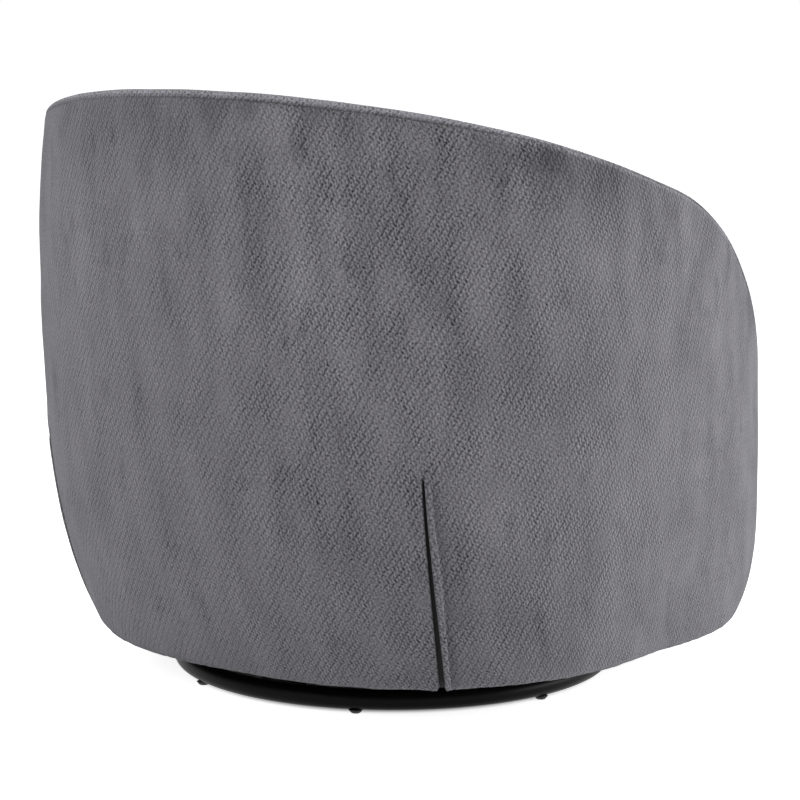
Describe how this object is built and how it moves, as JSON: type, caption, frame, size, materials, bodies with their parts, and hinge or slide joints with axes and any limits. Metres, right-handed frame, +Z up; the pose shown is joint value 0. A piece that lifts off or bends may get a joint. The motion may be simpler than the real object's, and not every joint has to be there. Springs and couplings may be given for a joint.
{
  "type": "swivel armchair",
  "caption": "Low barrel-shaped upholstered armchair whose padded shell turns on a ball bearing over a black tubular ring base.",
  "frame": {"origin": "on the floor, on the swivel axis, at the middle of the chair's plan", "axes": "+Z up along the swivel axis; the sitter faces -Y; +X is the sitter's left"},
  "size_m": [0.8, 0.78, 0.68],
  "materials": {
    "grey_fabric": "mid-grey chenille with a fine diagonal weave and a soft nap",
    "black_steel": "satin black powder coat",
    "black_plastic": "matt black moulded plastic",
    "bearing_steel": "zinc-plated pressed steel",
    "ball_steel": "polished bearing steel",
    "screw_steel": "zinc-plated steel",
    "spring_steel": "dark oiled spring wire",
    "plywood": "raw plywood",
    "timber": "planed softwood",
    "fibreboard": "raw fibreboard",
    "felt": "needled felt",
    "dust_cloth": "black non-woven cloth"
  },
  "bodies": {
    "base": {"base_ring": "black_steel", "cross_bars": "black_steel", "glide_1": "black_plastic", "glide_2": "black_plastic", "glide_3": "black_plastic", "glide_4": "black_plastic", "glide_5": "black_plastic", "glide_6": "black_plastic", "glide_7": "black_plastic", "bearing_lower_plate": "bearing_steel", "lower_screw_1": "screw_steel", "lower_screw_2": "screw_steel", "lower_screw_3": "screw_steel", "lower_screw_4": "screw_steel"},
    "cage": {"ball_cage": "black_plastic", "bearing_ball_01": "ball_steel", "bearing_ball_02": "ball_steel", "bearing_ball_03": "ball_steel", "bearing_ball_04": "ball_steel", "bearing_ball_05": "ball_steel", "bearing_ball_06": "ball_steel", "bearing_ball_07": "ball_steel", "bearing_ball_08": "ball_steel"},
    "seat": {"bearing_upper_plate": "bearing_steel", "swivel_block": "plywood", "base_board": "plywood", "dust_cover": "dust_cloth", "top_rail": "plywood", "back_liner": "fibreboard", "back_cover": "grey_fabric", "front_apron": "grey_fabric", "front_panel": "plywood", "rim_band": "grey_fabric", "inner_liner": "fibreboard", "inner_pad": "grey_fabric", "seat_deck": "felt", "seat_cushion": "grey_fabric", "upper_screw_1": "screw_steel", "upper_screw_2": "screw_steel", "upper_screw_3": "screw_steel", "upper_screw_4": "screw_steel", "rib_1": "plywood", "rib_2": "plywood", "rib_3": "plywood", "rib_4": "plywood", "rib_5": "plywood", "rib_6": "plywood", "rib_7": "plywood", "seat_spring_1": "spring_steel", "seat_spring_2": "spring_steel", "seat_spring_3": "spring_steel", "seat_spring_4": "spring_steel", "side_rail_right": "timber", "side_rail_left": "timber", "front_rail": "timber", "rear_rail": "timber", "post_front_right": "timber", "post_front_left": "timber", "post_rear_right": "timber", "post_rear_left": "timber"}
  },
  "joints": [
    {"name": "swivel", "type": "hinge", "parent": "base", "child": "seat", "pos_m": [0, 0, 0], "axis": [0, 0, 1], "continuous": true},
    {"name": "cage_turn", "type": "hinge", "parent": "base", "child": "cage", "pos_m": [0, 0, 0], "axis": [0, 0, 1], "continuous": true}
  ],
  "couplings": [
    {"joint": "cage_turn", "follows": "swivel", "ratio": 0.5}
  ]
}
